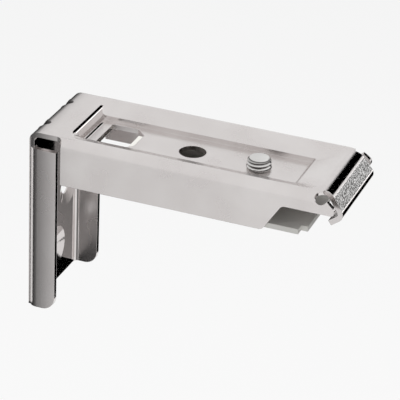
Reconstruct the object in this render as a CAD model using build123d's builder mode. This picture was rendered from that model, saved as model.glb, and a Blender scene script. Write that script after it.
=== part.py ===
from build123d import *
from math import atan, cos, degrees, radians, sin, tan
import os

# Curtain rail wall bracket: a pressed sheet-steel body with a channel leg for the wall and a channel
# arm that ends in a hooked flap, a lock plate that slides inside the arm, and the screw and washer
# that clamp it.
# Frame: origin on the wall face, midway between the two upper wall screws; +X out of the wall, +Z up.

# ---- Driving dimensions (mm) ----
sheet = 1.75              # thickness of the body's and the lock plate's steel
bend_radius = 3.3         # outside radius of the flange and corner bends

reach = 105.0             # wall face to the front of the flap
arm_top = 32.0            # top of the arm above the origin
arm_width = 39.4          # over the arm's flanges
arm_depth = 15.6          # top of the arm to the lower edge of its flanges
flange_start = 12.0       # wall face to the rear end of the arm's flanges

leg_width = 36.5          # over the leg's flanges
leg_bottom = -31.4        # lower end of the leg
leg_flange = 9.85         # wall face to the front edge of the leg's flanges
leg_corner = 4.5          # rounding of the flanges' lower front corners
leg_flange_drop = 5.5     # top of the arm to the top of the leg's flanges

strip_width = 34.0        # sheet that goes round the corner bend
relief_radius = 2.4       # rounding of the reliefs beside the corner bend, seen from above

# Stiffening darts pressed into the corner bend
dart_spacing = 17.4
dart_radius = 2.0
dart_depth = 2.6          # from the sharp corner, square to the 45 degree line
dart_reach = 9.0          # half the length of a dart's tool

# Wall screw seats: an upper pair and one below them
screw_pair_spacing = 20.0
pair_seat_diameter = 12.8
low_seat_diameter = 15.6
low_screw_z = -18.8
seat_depth = 1.2
wall_hole_diameter = 5.5

# Dished top of the arm, and the flat-bottomed recess in it
dish_start = 13.0         # wall end, before rounding
dish_front = 8.5          # its front end, back from the front of the bracket
dish_margin = 0.4         # flat left between the dish and the arm's long bends
dish_depth = 2.6          # at the rim of the recess
dish_nose_run = 8.5       # length of the dish's slope at the front
dish_corner = 4.5
dish_round = 1.5          # rounding where the flat edge turns down into the dish
rear_ramp_angle = 65.0    # slope at the wall end, down to the bottom of the recess
dish_side_run = 6.55      # width of the dish's slope beside the recess
recess_depth = 4.3
recess_front = 18.7       # front end of the flat bottom, back from the front of the bracket
front_ramp_angle = 50.0   # slope at the recess's front end
recess_corner = 1.2
recess_foot_round = 1.0   # where its two ramps meet the flat bottom

# Openings in the recess
window_start = 18.6
window_end = 30.9
window_margin = 1.85      # from the window to the side of the recess
window_chamfer = 3.4
round_hole_spacing = 22.5 # from the clamp screw
round_hole_diameter = 8.8

# Clamp screw (M8) and its collar
screw_back = 33.1         # its axis, back from the front of the bracket
thread_diameter = 7.9
thread_clearance = 0.05   # on the radius, in the collar
collar_wall = 1.5
collar_length = 3.2       # below the recess
screw_stand = 3.0         # end of the screw above the recess
screw_chamfer = 0.8
hex_across_flats = 13.0
hex_height = 5.3
hex_bevel_angle = 30.0    # bevel of the head's corners

# Washer
washer_diameter = 16.0
washer_thickness = 1.6
washer_clearance = 0.25   # on the radius, round the screw
seat_gap = 0.05           # between the washer and its neighbours

# Front: bend, flap and hooked lip, and the notch that seats the rail
flap_angle = 54.0         # below horizontal
flap_length = 8.1         # between the two bends' apexes, at mid-thickness
flap_root_width = 30.4
flap_width = 32.2         # at the lip
nose_radius = 4.2         # outside radius of the bend above the flap
lip_angle = 39.0          # below horizontal, towards the wall
lip_length = 5.1
lip_radius = 2.7          # outside radius of the bend above the lip
nose_relief_radius = 2.1  # clearance drilled at 45 degrees through each corner beside the front bend
nose_relief_inset = 1.2   # its axis from the arm's side and from its top
nose_relief_back = 6.5    # its axis, back from the front of the bracket
nose_flange_depth = 6.1   # top of the arm to the lower edge of its flanges, in front of the notch
notch_low_back = 24.6     # lower end of the notch's slope, back from the front of the bracket
notch_run = 6.0           # length of that slope along the arm
notch_round = 1.8
nose_flange_back = 1.8    # front ends of those flanges, back from the front of the bracket
nose_edge_slope = 0.82    # fall of the flanges' front edge, from the front bend to nose_flange_end
nose_flange_corner = 1.2

# Lock plate
plate_clearance = 0.15    # each side, inside the arm's flanges
plate_front_back = 13.3   # its front edge, back from the front of the bracket
plate_rear = 24.5
tongue_width = 29.6
tongue_length = 2.2
plate_wall_start = 27.0
plate_wall_back = 28.0    # front ends of its side walls, back from the front of the bracket
plate_wall_gap = 1.8      # below the underside of the arm's top
plate_bend_relief = 1.2   # gap in the sheet beside each bend
tab_width = 9.0
tab_bend = 2.8            # outside radius
tab_x = 28.9              # rear face of the tab that stands in the window
tab_top_gap = 0.7         # below the floor of the recess
travel = 8.0              # how far the plate draws back
slot_clearance = 0.35     # on the radius, round the screw

# ---- Worked out from the above ----
dish_end = reach - dish_front
dish_width = arm_width - 2 * bend_radius - 2 * dish_margin
recess_end = reach - recess_front
screw_x = reach - screw_back
round_hole_x = screw_x - round_hole_spacing
nose_relief_x = reach - nose_relief_back
notch_low_x = reach - notch_low_back
notch_high_x = notch_low_x + notch_run
nose_flange_end = reach - nose_flange_back
plate_front = reach - plate_front_back
plate_wall_end = reach - plate_wall_back
recess_width = dish_width - 2 * dish_side_run
window_width = recess_width - 2 * window_margin
dish_side_angle = atan(dish_depth / dish_side_run)
mid = sheet / 2
half_arm = arm_width / 2
half_leg = leg_width / 2
bend_mid = bend_radius - mid
floor_z = arm_top - recess_depth
floor_under = floor_z - sheet
flange_bottom = arm_top - arm_depth
leg_flange_top = arm_top - leg_flange_drop
top_under = arm_top - sheet
half_plate = half_arm - sheet - plate_clearance
plate_flat = half_plate - bend_radius
washer_top = flange_bottom - seat_gap
head_top = washer_top - washer_thickness - seat_gap

rear_slope = tan(radians(rear_ramp_angle))
front_slope = tan(radians(front_ramp_angle))
rim_start = dish_start + dish_depth / rear_slope
rim_end = dish_end - dish_nose_run
recess_start = dish_start + recess_depth / rear_slope
front_ramp_top = recess_end + recess_depth / front_slope

lip_mid = lip_radius - mid
nose_mid = nose_radius - mid
lip_turn = 180 - flap_angle - lip_angle
lip_tangent = lip_mid * tan(radians(lip_turn / 2))
flap_run = flap_length * cos(radians(flap_angle))
lip_apex_x = reach - lip_radius + lip_tangent * cos(radians(flap_angle)) + lip_mid * sin(radians(flap_angle))
lip_apex_z = arm_top - mid - flap_length * sin(radians(flap_angle))
nose_apex_x = lip_apex_x - flap_run
nose_start = nose_apex_x - nose_mid * tan(radians(flap_angle / 2))


def rounded_loft(low_x, high_x, width, inset_rear, inset_front, inset_side, corner_low, top_z, depth):
    """Tapered pocket: a rounded rectangle at top_z, drawn in on each side to a smaller one below it."""
    with BuildPart() as pocket:
        with BuildSketch(Plane.XY.offset(top_z)):
            with Locations(((low_x + high_x) / 2, 0)):
                RectangleRounded(high_x - low_x, width, dish_corner)
        with BuildSketch(Plane.XY.offset(top_z - depth)):
            with Locations(((low_x + inset_rear + high_x - inset_front) / 2, 0)):
                RectangleRounded(
                    high_x - low_x - inset_rear - inset_front,
                    width - 2 * inset_side,
                    corner_low,
                )
        loft(ruled=True)
    return pocket.part


def seat_angle(seat_diameter):
    """Angle of the cone that sinks a seat of this diameter by seat_depth at its hole."""
    return 2 * degrees(atan((seat_diameter - wall_hole_diameter) / 2 / seat_depth))


# ---- Body: leg, a channel with its web on the wall ----
with BuildPart() as leg:
    with BuildSketch(Plane.XY.offset(leg_bottom)):
        with BuildLine():
            FilletPolyline(
                (leg_flange, -half_leg + mid),
                (mid, -half_leg + mid),
                (mid, half_leg - mid),
                (leg_flange, half_leg - mid),
                radius=bend_mid,
            )
        trace(line_width=sheet)
    extrude(amount=leg_flange_top - leg_bottom)
    lower_front = leg.edges().filter_by(Axis.Y).group_by(Axis.Z)[0].group_by(Axis.X)[-1]
    fillet(lower_front, radius=leg_corner)

# ---- Body: sheet that goes up the wall and round the corner bend ----
with BuildPart() as corner:
    with BuildSketch(Plane.XZ):
        with BuildLine():
            FilletPolyline(
                (mid, leg_bottom),
                (mid, arm_top - mid),
                (flange_start + bend_radius, arm_top - mid),
                radius=bend_mid,
            )
        trace(line_width=sheet)
    extrude(amount=strip_width / 2, both=True)

# ---- Body: arm, a channel open downwards, with the rail notch cut in its flanges ----
with BuildPart() as arm:
    with BuildSketch(Plane.YZ.offset(flange_start - relief_radius)):
        with BuildLine():
            FilletPolyline(
                (-half_arm + mid, flange_bottom),
                (-half_arm + mid, arm_top - mid),
                (half_arm - mid, arm_top - mid),
                (half_arm - mid, flange_bottom),
                radius=bend_mid,
            )
        trace(line_width=sheet)
    extrude(amount=nose_flange_end - flange_start + relief_radius)
    with BuildSketch(Plane.XY.offset(arm_top)):
        with Locations((flange_start, strip_width / 2), (flange_start, -strip_width / 2 - arm_width)):
            Rectangle(reach, arm_width, align=(Align.MAX, Align.MIN))
        fillet(vertices().group_by(Axis.X)[-1].sort_by(Axis.Y)[1:3], radius=relief_radius)
    extrude(amount=-reach, mode=Mode.SUBTRACT)
    with BuildSketch(Plane.XZ):
        with BuildLine():
            Polyline(
                (notch_low_x - arm_depth, flange_bottom - arm_depth),
                (notch_low_x - arm_depth, flange_bottom),
                (notch_low_x, flange_bottom),
                (notch_high_x, arm_top - nose_flange_depth),
                (reach + arm_depth, arm_top - nose_flange_depth),
                (reach + arm_depth, flange_bottom - arm_depth),
                close=True,
            )
        make_face()
        notch_corners = vertices().filter_by_position(Axis.X, notch_low_x - 0.01, notch_high_x + 0.01)
        fillet(notch_corners, radius=notch_round)
    extrude(amount=arm_width, both=True, mode=Mode.SUBTRACT)
    with BuildSketch(Plane.XZ):
        with BuildLine():
            Polyline(
                (nose_start, arm_top + arm_depth),
                (nose_start, arm_top),
                (nose_flange_end, arm_top - (nose_flange_end - nose_start) * nose_edge_slope),
                (reach + arm_depth, arm_top - (nose_flange_end - nose_start) * nose_edge_slope),
                (reach + arm_depth, arm_top + arm_depth),
                close=True,
            )
        make_face()
    extrude(amount=arm_width, both=True, mode=Mode.SUBTRACT)
    with BuildSketch(Plane.XY.offset(arm_top)):
        with Locations((nose_start, 0)):
            Rectangle(reach, arm_width - 2 * sheet, align=(Align.MIN, Align.CENTER))
    extrude(amount=-arm_depth, mode=Mode.SUBTRACT)
    nose_corner = arm.edges().filter_by(Axis.Y).filter_by_position(
        Axis.X, nose_flange_end - 0.01, nose_flange_end + 0.01)
    fillet(nose_corner, radius=nose_flange_corner)

# ---- Body: front bend, flap and hooked lip ----
with BuildPart() as nose:
    with BuildSketch(Plane.XZ):
        with BuildLine():
            FilletPolyline(
                (nose_start - bend_radius, arm_top - mid),
                (nose_apex_x, arm_top - mid),
                (lip_apex_x, lip_apex_z),
                (
                    lip_apex_x - lip_length * cos(radians(lip_angle)),
                    lip_apex_z - lip_length * sin(radians(lip_angle)),
                ),
                radius=[nose_mid, lip_mid],
            )
        trace(line_width=sheet)
    extrude(amount=flap_width / 2, both=True)
    with BuildSketch(Plane.XY.offset(arm_top + sheet)):
        with BuildLine():
            Polyline(
                (nose_start - reach, -flap_root_width / 2),
                (nose_apex_x, -flap_root_width / 2),
                (lip_apex_x, -flap_width / 2),
                (lip_apex_x + reach, -flap_width / 2),
                (lip_apex_x + reach, flap_width / 2),
                (lip_apex_x, flap_width / 2),
                (nose_apex_x, flap_root_width / 2),
                (nose_start - reach, flap_root_width / 2),
                close=True,
            )
        make_face()
    extrude(amount=-reach, mode=Mode.INTERSECT)

# ---- Body: swellings inside the corner, under its two darts ----
dart_inset = (dart_depth - dart_radius) * cos(radians(45))
dart_plane = Plane(
    origin=(dart_inset, 0, arm_top - dart_inset),
    x_dir=(0, 1, 0),
    z_dir=(1, 0, 1),
)
with BuildPart() as dart_swellings:
    with BuildSketch(dart_plane):
        with GridLocations(dart_spacing, 0, 2, 1):
            Circle(dart_radius + sheet)
    extrude(amount=dart_reach, both=True)
    with Locations((mid, 0, arm_top - mid)):
        Box(reach, arm_width, reach, align=(Align.MIN, Align.CENTER, Align.MAX), mode=Mode.INTERSECT)

with BuildPart() as bracket_body:
    add(leg)
    add(corner)
    add(arm)
    add(nose)
    add(dart_swellings)

    # underside of the dish and of the recess, and the collar for the clamp screw
    side_slope = tan(dish_side_angle)
    side_grow = sheet * ((1 + side_slope**2) ** 0.5 - 1) / side_slope
    rear_grow = sheet * ((1 + rear_slope**2) ** 0.5 - 1) / rear_slope
    front_grow = sheet * ((1 + front_slope**2) ** 0.5 - 1) / front_slope
    add(
        rounded_loft(
            dish_start - rear_grow,
            dish_end + side_grow,
            dish_width + 2 * side_grow,
            dish_depth / rear_slope,
            dish_nose_run,
            dish_side_run,
            recess_corner + sheet,
            top_under,
            dish_depth,
        )
    )
    with BuildSketch(Plane.XZ):
        with BuildLine():
            Polyline(
                (dish_start - rear_grow, top_under),
                (recess_start - rear_grow, floor_under),
                (recess_end + front_grow, floor_under),
                (front_ramp_top + front_grow, top_under),
                close=True,
            )
        make_face()
        fillet(vertices().group_by(Axis.Y)[0], radius=recess_foot_round + sheet)
    extrude(amount=recess_width / 2 + sheet, both=True)
    with BuildSketch(Plane.XY.offset(floor_z - sheet / 2)):
        with Locations((screw_x, 0)):
            Circle(thread_diameter / 2 + thread_clearance + collar_wall)
    extrude(amount=-collar_length - sheet / 2)

    # dish, then the flat-bottomed recess in it
    add(
        rounded_loft(
            dish_start,
            dish_end,
            dish_width,
            dish_depth / rear_slope,
            dish_nose_run,
            dish_side_run,
            recess_corner,
            arm_top,
            dish_depth,
        ),
        mode=Mode.SUBTRACT,
    )
    with BuildSketch(Plane.XZ):
        with BuildLine():
            Polyline(
                (dish_start, arm_top),
                (recess_start, floor_z),
                (recess_end, floor_z),
                (front_ramp_top, arm_top),
                close=True,
            )
        make_face()
        fillet(vertices().group_by(Axis.Y)[0], radius=recess_foot_round)
    extrude(amount=recess_width / 2, both=True, mode=Mode.SUBTRACT)
    dish_rim = (
        edges()
        .filter_by_position(Axis.Z, arm_top - 0.01, arm_top + 0.01)
        .filter_by_position(Axis.X, dish_start - 0.01, dish_end + 0.01)
        .filter_by_position(Axis.Y, -dish_width / 2 - 0.01, dish_width / 2 + 0.01)
    )
    fillet(dish_rim, radius=min(dish_round, 0.9 * dish_margin / tan(dish_side_angle / 2)))

    # openings in the recess: window, round hole, and the tapped bore of the collar
    with BuildSketch(Plane.XY.offset(floor_z)):
        with Locations((window_start, 0)):
            Rectangle(window_end - window_start, window_width, align=(Align.MIN, Align.CENTER))
        chamfer(vertices().group_by(Axis.X)[-1], length=window_chamfer)
    extrude(amount=-sheet, mode=Mode.SUBTRACT)
    with Locations((round_hole_x, 0, floor_z)):
        Hole(round_hole_diameter / 2)
    with Locations((screw_x, 0, floor_z)):
        Hole(thread_diameter / 2 + thread_clearance)

    # wall screw seats, sunk from the front of the leg's web, and clear of the bends beside it
    with BuildSketch(Plane(origin=(sheet, 0, 0), x_dir=(0, 1, 0), z_dir=(1, 0, 0))):
        with GridLocations(screw_pair_spacing, 0, 2, 1):
            Circle(pair_seat_diameter / 2)
    extrude(amount=bend_radius - sheet, mode=Mode.SUBTRACT)
    with Locations(Plane(origin=(sheet, 0, 0), x_dir=(0, 1, 0), z_dir=(1, 0, 0))):
        with GridLocations(screw_pair_spacing, 0, 2, 1):
            CounterSinkHole(
                wall_hole_diameter / 2,
                pair_seat_diameter / 2,
                counter_sink_angle=seat_angle(pair_seat_diameter),
            )
        with Locations((0, low_screw_z)):
            CounterSinkHole(
                wall_hole_diameter / 2,
                low_seat_diameter / 2,
                counter_sink_angle=seat_angle(low_seat_diameter),
            )

    # the darts' grooves outside the corner
    with BuildSketch(dart_plane):
        with GridLocations(dart_spacing, 0, 2, 1):
            Circle(dart_radius)
    extrude(amount=dart_reach, both=True, mode=Mode.SUBTRACT)

    # reliefs beside the front bend, each drilled at 45 degrees through the arm's long corner
    for side in (-1, 1):
        relief_plane = Plane(
            origin=(nose_relief_x, side * (half_arm - nose_relief_inset), arm_top - nose_relief_inset),
            x_dir=(1, 0, 0),
            z_dir=(0, side, 1),
        )
        with BuildSketch(relief_plane):
            Circle(nose_relief_radius)
        extrude(amount=bend_radius, both=True, mode=Mode.SUBTRACT)

# ---- Lock plate: slides inside the arm and holds the rail against the hooked lip ----
with BuildPart() as lock_plate:
    with BuildSketch(Plane.XY.offset(flange_bottom)):
        with Locations((plate_rear, 0)):
            Rectangle(plate_front - plate_rear, 2 * plate_flat, align=(Align.MIN, Align.CENTER))
            Rectangle(plate_front + tongue_length - plate_rear, tongue_width, align=(Align.MIN, Align.CENTER))
            Rectangle(
                plate_wall_start - plate_bend_relief - plate_rear,
                2 * half_plate,
                align=(Align.MIN, Align.CENTER),
            )
        with Locations((plate_front, 0)):
            Rectangle(
                plate_front - plate_wall_end - plate_bend_relief,
                2 * half_plate,
                align=(Align.MAX, Align.CENTER),
            )
        with Locations((plate_rear, 0)):
            Rectangle(
                tab_x + tab_bend - plate_rear,
                tab_width + 2 * plate_bend_relief,
                align=(Align.MIN, Align.CENTER),
                mode=Mode.SUBTRACT,
            )
        with Locations((screw_x + travel / 2, 0)):
            SlotCenterToCenter(travel, thread_diameter + 2 * slot_clearance, mode=Mode.SUBTRACT)
    extrude(amount=sheet)
    with BuildSketch(Plane.YZ.offset(plate_wall_start)):
        with BuildLine():
            FilletPolyline(
                (-half_plate + mid, top_under - plate_wall_gap),
                (-half_plate + mid, flange_bottom + mid),
                (half_plate - mid, flange_bottom + mid),
                (half_plate - mid, top_under - plate_wall_gap),
                radius=bend_mid,
            )
        trace(line_width=sheet)
        with Locations((0, flange_bottom)):
            Rectangle(2 * plate_flat, arm_depth, align=(Align.CENTER, Align.MIN), mode=Mode.SUBTRACT)
    extrude(amount=plate_wall_end - plate_wall_start)
    with BuildSketch(Plane.XZ):
        with BuildLine():
            FilletPolyline(
                (tab_x + tab_bend + plate_bend_relief, flange_bottom + mid),
                (tab_x + mid, flange_bottom + mid),
                (tab_x + mid, floor_z - tab_top_gap),
                radius=tab_bend - mid,
            )
        trace(line_width=sheet)
    extrude(amount=tab_width / 2, both=True)

# ---- Clamp screw, head downwards, its end standing in the recess; its thread is left plain ----
with BuildPart() as clamp_screw:
    with BuildSketch(Plane.XY.offset(head_top)):
        with Locations((screw_x, 0)):
            Circle(thread_diameter / 2)
    extrude(amount=floor_z + screw_stand - head_top)
    chamfer(edges().group_by(Axis.Z)[-1], length=screw_chamfer)
    with BuildSketch(Plane.XY.offset(head_top)):
        with Locations((screw_x, 0)):
            RegularPolygon(hex_across_flats / 2, 6, major_radius=False)
    extrude(amount=-hex_height)
    with BuildSketch(Plane.XZ):
        with BuildLine():
            Polyline(
                (screw_x, head_top - hex_height),
                (screw_x + hex_across_flats / 2, head_top - hex_height),
                (
                    screw_x + hex_across_flats,
                    head_top - hex_height + hex_across_flats / 2 * tan(radians(hex_bevel_angle)),
                ),
                (screw_x + hex_across_flats, floor_z + reach),
                (screw_x, floor_z + reach),
                close=True,
            )
        make_face()
    revolve(axis=Axis((screw_x, 0, 0), (0, 0, 1)), mode=Mode.INTERSECT)

# ---- Washer between the lock plate and the screw's head ----
with BuildPart() as clamp_washer:
    with BuildSketch(Plane.XY.offset(washer_top)):
        with Locations((screw_x, 0)):
            Circle(washer_diameter / 2)
            Circle(thread_diameter / 2 + washer_clearance, mode=Mode.SUBTRACT)
    extrude(amount=-washer_thickness)

bracket_body.part.label = "bracket_body"
lock_plate.part.label = "lock_plate"
clamp_screw.part.label = "clamp_screw"
clamp_washer.part.label = "clamp_washer"

os.makedirs("parts", exist_ok=True)
export_step(bracket_body.part, "parts/bracket_body.step")
export_step(lock_plate.part, "parts/lock_plate.step")
export_step(clamp_screw.part, "parts/clamp_screw.step")
export_step(clamp_washer.part, "parts/clamp_washer.step")
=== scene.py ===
from math import cos, pi, radians, sin, tan

import bpy
from mathutils import Matrix, Vector


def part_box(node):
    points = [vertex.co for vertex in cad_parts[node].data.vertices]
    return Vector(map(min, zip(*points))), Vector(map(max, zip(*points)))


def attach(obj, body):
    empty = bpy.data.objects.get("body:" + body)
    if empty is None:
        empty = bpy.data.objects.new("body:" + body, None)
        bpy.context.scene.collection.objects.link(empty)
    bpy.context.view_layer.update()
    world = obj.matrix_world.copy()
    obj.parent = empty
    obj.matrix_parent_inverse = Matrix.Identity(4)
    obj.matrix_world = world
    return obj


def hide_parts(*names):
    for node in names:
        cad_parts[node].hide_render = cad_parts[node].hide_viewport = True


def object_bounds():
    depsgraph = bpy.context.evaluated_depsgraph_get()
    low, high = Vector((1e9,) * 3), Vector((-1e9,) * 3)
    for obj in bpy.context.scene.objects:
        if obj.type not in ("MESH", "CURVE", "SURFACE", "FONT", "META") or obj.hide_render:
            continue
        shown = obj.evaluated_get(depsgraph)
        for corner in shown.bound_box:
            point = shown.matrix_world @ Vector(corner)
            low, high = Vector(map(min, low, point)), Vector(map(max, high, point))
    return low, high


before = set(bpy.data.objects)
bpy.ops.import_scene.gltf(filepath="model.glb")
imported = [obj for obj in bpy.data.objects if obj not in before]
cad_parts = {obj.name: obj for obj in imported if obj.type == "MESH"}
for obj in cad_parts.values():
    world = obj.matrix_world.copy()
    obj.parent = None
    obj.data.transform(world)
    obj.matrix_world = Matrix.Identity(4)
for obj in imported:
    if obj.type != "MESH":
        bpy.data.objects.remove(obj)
cad_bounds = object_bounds()

MM = 0.001
SCENE = bpy.context.scene

# ---- The dressed screw; its place and overall size come from the frame ----
THREAD_PITCH = 1.25 * MM
THREAD_DEPTH = 0.62 * MM
THREAD_FLANK = 2.6            # how fast the ridge rises, in depths per pitch
THREAD_ROOT = 0.15            # share of the depth that is cut off at the root
SHANK_RADIUS = 3.95 * MM
TIP_CHAMFER = 0.8 * MM
HEAD_HEIGHT = 5.3 * MM
HEAD_BEVEL_ANGLE = radians(30)
SCREW_SIDES = 144
HEAD_RINGS = 8
THREAD_RINGS = 150
SHOULDER_STEP = 0.02          # from the head's last ring to the thread's first, in ring spacings

# ---- The sheet ----
LEG_INSET = 1.45 * MM         # from the arm's side to the leg's
CORNER_RISE = 2.6 * MM        # height of the corner bend that stands off the wall
FLAP_START = 98.9 * MM        # where the flap's grained face begins
FLAP_FADE = 0.3 * MM          # length over which the grain sets in
EDGE_ROUND = 0.22 * MM        # broken edges, as shading only

# ---- Finishes ----
MOTTLE_SCALE = 70.0           # noise scales are in cells per metre
PEEL_SCALE = 900.0
PEEL_HEIGHT = 0.05 * MM
ZINC_SCALE = 1500.0
GRAIN_SCALE = 1700.0
GRAIN_HEIGHT = 1.6 * MM
FRONT_ROUGHNESS = 0.07        # faces that point to the front
PLATE_METALLIC = 0.25
EDGE_SAMPLES = 6
MOTTLE_COLOUR_BAND = (0.35, 0.65)   # bands of noise over which a finish turns from one look to the other
MOTTLE_GLOSS_BAND = (0.3, 0.7)
SPECKLE_BAND = (0.44, 0.56)
SPECK_DARK = (0.22, 0.215, 0.21, 1)
SPECK_PALE = (1.0, 0.99, 0.98, 1)
# painted shade for the grooves of the screw's thread
GROOVE_PAINTED_SHADE = (0.06, 0.055, 0.05, 1)
FLAP_OUTWARD = (0.74, 0.80)   # X of a face's direction, from off the flap to on it
FLAP_UPWARD = (0.50, 0.57)    # and its Z
FRONTWARD = (0.10, 0.28)      # X of a face's direction, from satin to glossy
GROOVE_CREST = 0.15 * MM      # below the shank's radius, where the painted shade in the thread ends
GROOVE_FADE = 0.05 * MM
GROOVE_TIP = 0.15 * MM        # plain end of the screw, above the last groove of painted shade

# ---- Backdrop and light ----
BACKDROP = 0.914              # what the camera and the metal see around the bracket
AMBIENT = 0.55                # what lights dull surfaces
FLOOR_HALF = 6.0
FLOOR_DROP = 0.40             # below the bracket, which hangs on its wall
FLOOR_GLOW = 0.80
FLOOR_TAKES = 0.14            # share of the lamps' light that the seen floor adds
FLOOR_MATTE = 0.8
LIGHT_TARGET = Vector((0.05, 0, 0))
CARD_TARGET = Vector((0.05, 0, 0.02))
WALL_REACH = 0.25
WALL_GAP = 0.3 * MM
# painted shadow of the bracket on the wall card, where it glows least
WALL_PAINTED_SHADOW = 0.03
WALL_PALE_BESIDE = 0.80
WALL_PALE_ABOVE = 0.90
WALL_FADE_BESIDE = 32 * MM
WALL_FADE_BELOW = 0.5 * MM    # the painted shade above the corner starts this far under the arm's top
WALL_FADE_ABOVE = 6 * MM

# ---- Camera: a long lens, from the bracket's front left and above ----
CAMERA_TARGET = Vector((52.5, 0.4, 10.9)) * MM
CAMERA_DISTANCE = 670.25 * MM
CAMERA_AZIMUTH = radians(19.958)
CAMERA_ELEVATION = radians(27.415)
CAMERA_ROLL = radians(2.745)
CAMERA_LENS = 187.2
CAMERA_SENSOR = 36.0
CAMERA_CLIP_END = 50.0


# ---------------------------------------------------------------- helpers
def add_mesh(name, verts, faces):
    """A new object of one mesh, in the scene."""
    mesh = bpy.data.meshes.new(name)
    mesh.from_pydata(verts, [], faces)
    mesh.update()
    obj = bpy.data.objects.new(name, mesh)
    SCENE.collection.objects.link(obj)
    return obj


def grey(value):
    """An opaque grey."""
    return (value, value, value, 1)


def new_material(name):
    """A material with its node tree and its Principled shader."""
    mat = bpy.data.materials.new(name)
    mat.use_nodes = True
    tree = mat.node_tree
    return mat, tree, tree.nodes["Principled BSDF"]


def new_bare_material(name):
    """A material whose surface isn't linked yet, with its node tree and its surface socket."""
    mat, tree, shader = new_material(name)
    tree.nodes.remove(shader)
    return mat, tree, tree.nodes["Material Output"].inputs["Surface"]


def add_node(tree, kind, links=None, **settings):
    """Adds a node, sets its plain properties or input values, and links inputs from other sockets."""
    node = tree.nodes.new(kind)
    for key, value in settings.items():
        if hasattr(node, key):
            setattr(node, key, value)
        else:
            node.inputs[key].default_value = value
    for key, socket in (links or {}).items():
        tree.links.new(socket, node.inputs[key])
    return node


def combine(tree, operation, first, second):
    """One plain sum, product or comparison of two sockets."""
    return add_node(tree, "ShaderNodeMath", {0: first, 1: second}, operation=operation).outputs[0]


def remap(tree, socket, low, high, to_low=0.0, to_high=1.0):
    """A clamped linear remap of one value."""
    node = add_node(tree, "ShaderNodeMapRange", {"Value": socket})
    node.inputs["From Min"].default_value = low
    node.inputs["From Max"].default_value = high
    node.inputs["To Min"].default_value = to_low
    node.inputs["To Max"].default_value = to_high
    return node.outputs["Result"]


def mix_colour(tree, factor, first, second):
    """Mixes two colours, each a socket or a plain colour, by a factor socket."""
    node = add_node(tree, "ShaderNodeMix", data_type="RGBA")
    tree.links.new(factor, node.inputs["Factor"])
    for slot, value in ((6, first), (7, second)):
        if isinstance(value, tuple):
            node.inputs[slot].default_value = value
        else:
            tree.links.new(value, node.inputs[slot])
    return node.outputs[2]


def mix_value(tree, factor, socket, value):
    """Blends from a value socket to a plain value by a factor socket."""
    node = add_node(tree, "ShaderNodeMix", {0: factor, 2: socket})
    node.inputs[3].default_value = value
    return node.outputs[0]


def object_axes(tree, output):
    """The X, Y and Z of the object's own position ("Object") or direction of face ("Normal")."""
    coords = add_node(tree, "ShaderNodeTexCoord")
    return add_node(tree, "ShaderNodeSeparateXYZ", {"Vector": coords.outputs[output]}).outputs


def object_noise(tree, scale, detail=4.0):
    """Noise in the object's own metres."""
    coords = add_node(tree, "ShaderNodeTexCoord")
    noise = add_node(tree, "ShaderNodeTexNoise", {"Vector": coords.outputs["Object"]})
    noise.inputs["Scale"].default_value = scale
    noise.inputs["Detail"].default_value = detail
    return noise.outputs["Fac"]


def feeding(shader, name):
    """The socket that feeds one input of a shader."""
    return shader.inputs[name].links[0].from_socket


# ---------------------------------------------------------------- finishes
def plated_steel(name, pale, dark, roughness, bump, peel=PEEL_SCALE):
    """Plated steel: faint mottling in colour and gloss, a fine orange-peel bump and softly shaded edges."""
    mat, tree, shader = new_material(name)
    shader.inputs["Metallic"].default_value = 1.0
    mottle = object_noise(tree, MOTTLE_SCALE)
    fine = object_noise(tree, peel, detail=2.0)
    colour = mix_colour(tree, remap(tree, mottle, *MOTTLE_COLOUR_BAND), pale, dark)
    tree.links.new(colour, shader.inputs["Base Color"])
    tree.links.new(remap(tree, mottle, *MOTTLE_GLOSS_BAND, *roughness), shader.inputs["Roughness"])
    edge = add_node(tree, "ShaderNodeBevel", samples=EDGE_SAMPLES)
    edge.inputs["Radius"].default_value = EDGE_ROUND
    relief = add_node(tree, "ShaderNodeBump", {"Height": fine, "Normal": edge.outputs["Normal"]})
    relief.inputs["Strength"].default_value = bump
    relief.inputs["Distance"].default_value = PEEL_HEIGHT
    tree.links.new(relief.outputs["Normal"], shader.inputs["Normal"])
    return mat, tree, shader


def on_flap(tree, facing):
    """1 on the flap's sloped outer face, and 0 elsewhere."""
    beyond = remap(tree, object_axes(tree, "Object")["X"], FLAP_START, FLAP_START + FLAP_FADE)
    outward = remap(tree, facing["X"], *FLAP_OUTWARD)
    upward = remap(tree, facing["Z"], *FLAP_UPWARD)
    return combine(tree, "MULTIPLY", combine(tree, "MULTIPLY", beyond, outward), upward)


def make_body_steel():
    """Satin nickel plate, glossier on the faces that point to the front and grained on the flap."""
    mat, tree, shader = plated_steel(
        "body_satin_nickel",
        pale=(0.745, 0.715, 0.705, 1), dark=(0.70, 0.665, 0.655, 1), roughness=(0.22, 0.29), bump=0.12)
    facing = object_axes(tree, "Normal")
    flap = on_flap(tree, facing)
    grain = object_noise(tree, GRAIN_SCALE, detail=3.0)
    specks = mix_colour(tree, remap(tree, grain, *SPECKLE_BAND), SPECK_DARK, SPECK_PALE)
    colour = mix_colour(tree, flap, feeding(shader, "Base Color"), specks)
    tree.links.new(colour, shader.inputs["Base Color"])

    frontward = remap(tree, facing["X"], *FRONTWARD)
    gloss = mix_value(tree, frontward, feeding(shader, "Roughness"), FRONT_ROUGHNESS)
    tree.links.new(gloss, shader.inputs["Roughness"])

    grained = add_node(
        tree, "ShaderNodeBump", {"Height": grain, "Strength": flap, "Normal": feeding(shader, "Normal")})
    grained.inputs["Distance"].default_value = GRAIN_HEIGHT
    tree.links.new(grained.outputs["Normal"], shader.inputs["Normal"])
    return mat


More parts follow.
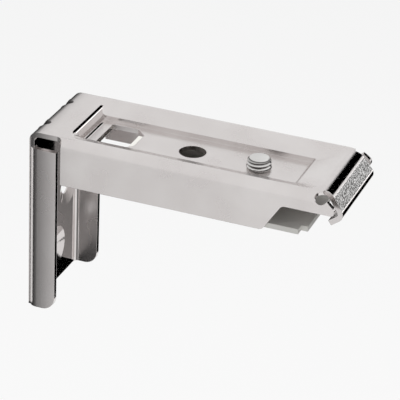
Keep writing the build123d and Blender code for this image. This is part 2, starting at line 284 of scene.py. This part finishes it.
def make_plate_steel():
    """Dull zinc, less metallic than the body."""
    mat, _, shader = plated_steel(
        "plate_satin_zinc",
        pale=(0.74, 0.73, 0.69, 1), dark=(0.67, 0.66, 0.63, 1), roughness=(0.34, 0.42), bump=0.25)
    shader.inputs["Metallic"].default_value = PLATE_METALLIC
    return mat


def make_zinc():
    """Bright zinc, with painted shade darkening the grooves of the screw's thread."""
    mat, tree, shader = plated_steel(
        "fastener_bright_zinc",
        pale=(0.80, 0.79, 0.78, 1), dark=(0.62, 0.61, 0.60, 1), roughness=(0.06, 0.12), bump=0.35,
        peel=ZINC_SCALE)
    (x0, y0, z0), (x1, y1, z1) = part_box("clamp_screw")
    place = object_axes(tree, "Object")
    flat = add_node(tree, "ShaderNodeCombineXYZ", {"X": place["X"], "Y": place["Y"]})
    from_axis = add_node(tree, "ShaderNodeVectorMath", {0: flat.outputs[0]}, operation="DISTANCE")
    from_axis.inputs[1].default_value = ((x0 + x1) / 2, (y0 + y1) / 2, 0)
    root = SHANK_RADIUS - THREAD_DEPTH
    # painted shade: the thread is darker the deeper it lies below the crest, standing in for shade in the
    # grooves
    depth = remap(tree, from_axis.outputs["Value"], root, SHANK_RADIUS - GROOVE_CREST, 1.0, 0.0)
    head_top = z0 + HEAD_HEIGHT
    above_head = remap(tree, place["Z"], head_top - GROOVE_FADE, head_top)
    below_end = remap(tree, place["Z"], z1 - GROOVE_TIP, z1 - GROOVE_FADE, 1.0, 0.0)
    painted_groove_shade = combine(tree, "MULTIPLY", depth, combine(tree, "MULTIPLY", above_head, below_end))
    colour = mix_colour(tree, painted_groove_shade, feeding(shader, "Base Color"), GROOVE_PAINTED_SHADE)
    tree.links.new(colour, shader.inputs["Base Color"])
    return mat


# ---------------------------------------------------------------- the threaded screw
def screw_radius(angle, height, low, high, apothem):
    """Radius of the screw's surface at one height, for one angle about its axis."""
    head_top = low + HEAD_HEIGHT
    if height <= head_top:
        sector = (angle + pi / 6) % (pi / 3) - pi / 6
        hexagon = apothem / cos(sector)
        bevel = apothem + (height - low) / tan(HEAD_BEVEL_ANGLE)
        return min(hexagon, bevel)
    phase = ((height - head_top) / THREAD_PITCH - angle / (2 * pi)) % 1.0
    ridge = min(1.0, max(0.0, THREAD_FLANK * (0.5 - abs(phase - 0.5)) - THREAD_ROOT))
    radius = SHANK_RADIUS - THREAD_DEPTH * (1 - ridge)
    tip = SHANK_RADIUS - TIP_CHAMFER * max(0.0, 1 - (high - height) / TIP_CHAMFER)
    return min(radius, tip)


def make_screw():
    """The clamp screw as one closed mesh of rings, with its thread cut as a helix."""
    (x0, y0, z0), (x1, y1, z1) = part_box("clamp_screw")
    centre_x, centre_y = (x0 + x1) / 2, (y0 + y1) / 2
    apothem = (y1 - y0) / 2
    head_top = z0 + HEAD_HEIGHT
    heights = [z0 + HEAD_HEIGHT * i / HEAD_RINGS for i in range(HEAD_RINGS + 1)]
    heights += [
        head_top + (z1 - head_top) * (i + SHOULDER_STEP) / (THREAD_RINGS + SHOULDER_STEP)
        for i in range(THREAD_RINGS + 1)
    ]
    verts = []
    for height in heights:
        for i in range(SCREW_SIDES):
            angle = 2 * pi * i / SCREW_SIDES
            radius = screw_radius(angle + pi / 2, height, z0, z1, apothem)
            verts.append((centre_x + radius * cos(angle), centre_y + radius * sin(angle), height))
    faces = []
    for ring in range(len(heights) - 1):
        first = ring * SCREW_SIDES
        for i in range(SCREW_SIDES):
            j = (i + 1) % SCREW_SIDES
            faces.append((first + i, first + j, first + SCREW_SIDES + j, first + SCREW_SIDES + i))
    top = (len(heights) - 1) * SCREW_SIDES
    faces.append(tuple(reversed(range(SCREW_SIDES))))
    faces.append(tuple(top + i for i in range(SCREW_SIDES)))
    return add_mesh("clamp_screw_threaded", verts, faces)


# ---------------------------------------------------------------- backdrop
def backdrop_rays(tree):
    """1 for camera, glossy and transmission rays, which see the backdrop, and 0 for the rest."""
    path = add_node(tree, "ShaderNodeLightPath")
    first = combine(tree, "MAXIMUM", path.outputs["Is Camera Ray"], path.outputs["Is Glossy Ray"])
    return combine(tree, "MAXIMUM", first, path.outputs["Is Transmission Ray"])


def make_world():
    """A pale surround that lights dull surfaces less than it shows."""
    world = bpy.data.worlds.new("studio")
    SCENE.world = world
    world.use_nodes = True
    tree = world.node_tree
    background = tree.nodes["Background"]
    colour = mix_colour(tree, backdrop_rays(tree), grey(AMBIENT), grey(BACKDROP))
    tree.links.new(colour, background.inputs["Color"])
    background.inputs["Strength"].default_value = 1.0


def make_floor():
    """A wide pale floor, below the bracket as it hangs on its wall."""
    level = cad_bounds[0][2] - FLOOR_DROP
    corners = ((-1, -1), (1, -1), (1, 1), (-1, 1))
    floor = add_mesh("floor", [(x * FLOOR_HALF, y * FLOOR_HALF, level) for x, y in corners], [(0, 1, 2, 3)])
    mat, tree, surface = new_bare_material("floor_pale")
    matte = add_node(tree, "ShaderNodeBsdfDiffuse", Color=grey(FLOOR_MATTE))
    glow = add_node(tree, "ShaderNodeEmission", Color=grey(FLOOR_GLOW))
    pale = add_node(tree, "ShaderNodeBsdfDiffuse", Color=grey(FLOOR_TAKES))
    seen = add_node(tree, "ShaderNodeAddShader", {0: glow.outputs[0], 1: pale.outputs[0]})
    mixed = add_node(
        tree, "ShaderNodeMixShader", {0: backdrop_rays(tree), 1: matte.outputs[0], 2: seen.outputs[0]})
    tree.links.new(mixed.outputs[0], surface)
    floor.data.materials.append(mat)


# ---------------------------------------------------------------- lamps, and cards for the reflections
def make_softbox(name, location, size, watts):
    """A square lamp, turned to the bracket and unseen in its reflections."""
    light = bpy.data.lights.new(name, "AREA")
    light.size = size
    light.energy = watts
    lamp = bpy.data.objects.new(name, light)
    SCENE.collection.objects.link(lamp)
    lamp.location = location
    lamp.visible_glossy = False
    lamp.rotation_euler = (Vector(location) - LIGHT_TARGET).to_track_quat("Z", "Y").to_euler()


def keep_to_reflections(card):
    """Hides a card from the camera, from dull surfaces and from shadows."""
    card.visible_camera = False
    card.visible_diffuse = False
    card.visible_shadow = False


def make_card(name, direction, distance, width, height, shade):
    """A flat card of one shade, square to the line from the arm's middle."""
    direction = Vector(direction).normalized()
    w, h = width / 2, height / 2
    card = add_mesh(name, [(-w, -h, 0), (w, -h, 0), (w, h, 0), (-w, h, 0)], [(0, 1, 2, 3)])
    turn = direction.to_track_quat("Z", "Y").to_matrix().to_4x4()
    card.matrix_world = Matrix.Translation(CARD_TARGET + direction * distance) @ turn
    mat, tree, surface = new_bare_material(name)
    glow = add_node(tree, "ShaderNodeEmission", Color=grey(shade))
    tree.links.new(glow.outputs[0], surface)
    card.data.materials.append(mat)
    keep_to_reflections(card)


def make_wall_card():
    """The wall beside the leg as reflections see it: a glowing card with painted shadow, dark close to the
    bracket and pale further out.
    """
    low, high = cad_bounds
    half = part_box("bracket_body")[1][1] - LEG_INSET
    panels = (
        (-WALL_REACH, -half, low[2] - WALL_REACH, high[2]),
        (half, WALL_REACH, low[2] - WALL_REACH, high[2]),
        (-WALL_REACH, WALL_REACH, high[2], high[2] + WALL_REACH),
        (-half, half, high[2] - CORNER_RISE, high[2]),
        (-half, half, low[2] - WALL_REACH, low[2]),
    )
    verts = []
    faces = []
    for y0, y1, z0, z1 in panels:
        first = len(verts)
        verts += [(-WALL_GAP, y0, z0), (-WALL_GAP, y1, z0), (-WALL_GAP, y1, z1), (-WALL_GAP, y0, z1)]
        faces.append((first, first + 1, first + 2, first + 3))
    wall = add_mesh("wall_card", verts, faces)
    mat, tree, surface = new_bare_material("wall_card")
    place = object_axes(tree, "Object")
    # painted shadow: the card's glow is dark beside and above the bracket and pale further out
    across = add_node(tree, "ShaderNodeMath", {0: place["Y"]}, operation="ABSOLUTE").outputs[0]
    beside = remap(tree, across, half, half + WALL_FADE_BESIDE, WALL_PAINTED_SHADOW, WALL_PALE_BESIDE)
    above = remap(
        tree, place["Z"], high[2] - WALL_FADE_BELOW, high[2] + WALL_FADE_ABOVE, WALL_PAINTED_SHADOW, WALL_PALE_ABOVE)
    glow = add_node(tree, "ShaderNodeEmission", {"Color": combine(tree, "MAXIMUM", beside, above)})
    tree.links.new(glow.outputs[0], surface)
    wall.data.materials.append(mat)
    keep_to_reflections(wall)


# ---------------------------------------------------------------- camera
def make_camera():
    """Looks at the target from its azimuth and elevation, rolled about its own line of sight."""
    data = bpy.data.cameras.new("camera")
    data.lens = CAMERA_LENS
    data.sensor_width = CAMERA_SENSOR
    data.clip_end = CAMERA_CLIP_END
    camera = bpy.data.objects.new("camera", data)
    SCENE.collection.objects.link(camera)
    right = Vector((cos(CAMERA_AZIMUTH), sin(CAMERA_AZIMUTH), 0))
    back = Vector((
        sin(CAMERA_AZIMUTH) * cos(CAMERA_ELEVATION),
        -cos(CAMERA_AZIMUTH) * cos(CAMERA_ELEVATION),
        sin(CAMERA_ELEVATION),
    ))
    up = back.cross(right)
    rolled_right = cos(CAMERA_ROLL) * right + sin(CAMERA_ROLL) * up
    rolled_up = -sin(CAMERA_ROLL) * right + cos(CAMERA_ROLL) * up
    rotation = Matrix((rolled_right, rolled_up, back)).transposed().to_4x4()
    camera.matrix_world = Matrix.Translation(CAMERA_TARGET + back * CAMERA_DISTANCE) @ rotation
    SCENE.camera = camera


# ---------------------------------------------------------------- the dressed bracket
body_steel = make_body_steel()
plate_steel = make_plate_steel()
zinc = make_zinc()

for node, material in (("bracket_body", body_steel), ("lock_plate", plate_steel), ("clamp_washer", zinc)):
    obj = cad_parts[node]
    for slot_index in range(len(obj.data.materials)):
        obj.data.materials[slot_index] = material

screw = make_screw()
screw.data.materials.append(zinc)
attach(screw, "screw")
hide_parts("clamp_screw")

# ---------------------------------------------------------------- the studio
make_world()
make_floor()
make_softbox("key_softbox", (-0.15, 0.25, 1.1), 0.35, 12.0)
make_softbox("fill_softbox", (0.9, -0.3, 0.7), 0.5, 2.0)

make_wall_card()
# black for the convex bends and for the lip, bright for the flap and the dish's rear ramp, dim for the leg
make_card("card_bends", (0.20, 0.834, 0.46), distance=0.9, width=0.52, height=0.36, shade=0.0)
make_card("card_lip", (0.44, 0.80, -0.36), distance=0.7, width=0.40, height=0.34, shade=0.0)
make_card("card_bright", (0.56, 0.834, 0.06), distance=0.9, width=0.30, height=0.22, shade=2.2)
make_card("card_front_low", (0.42, -0.80, -0.42), distance=0.7, width=0.56, height=0.40, shade=0.20)

make_camera()
SCENE.view_settings.view_transform = "Standard"
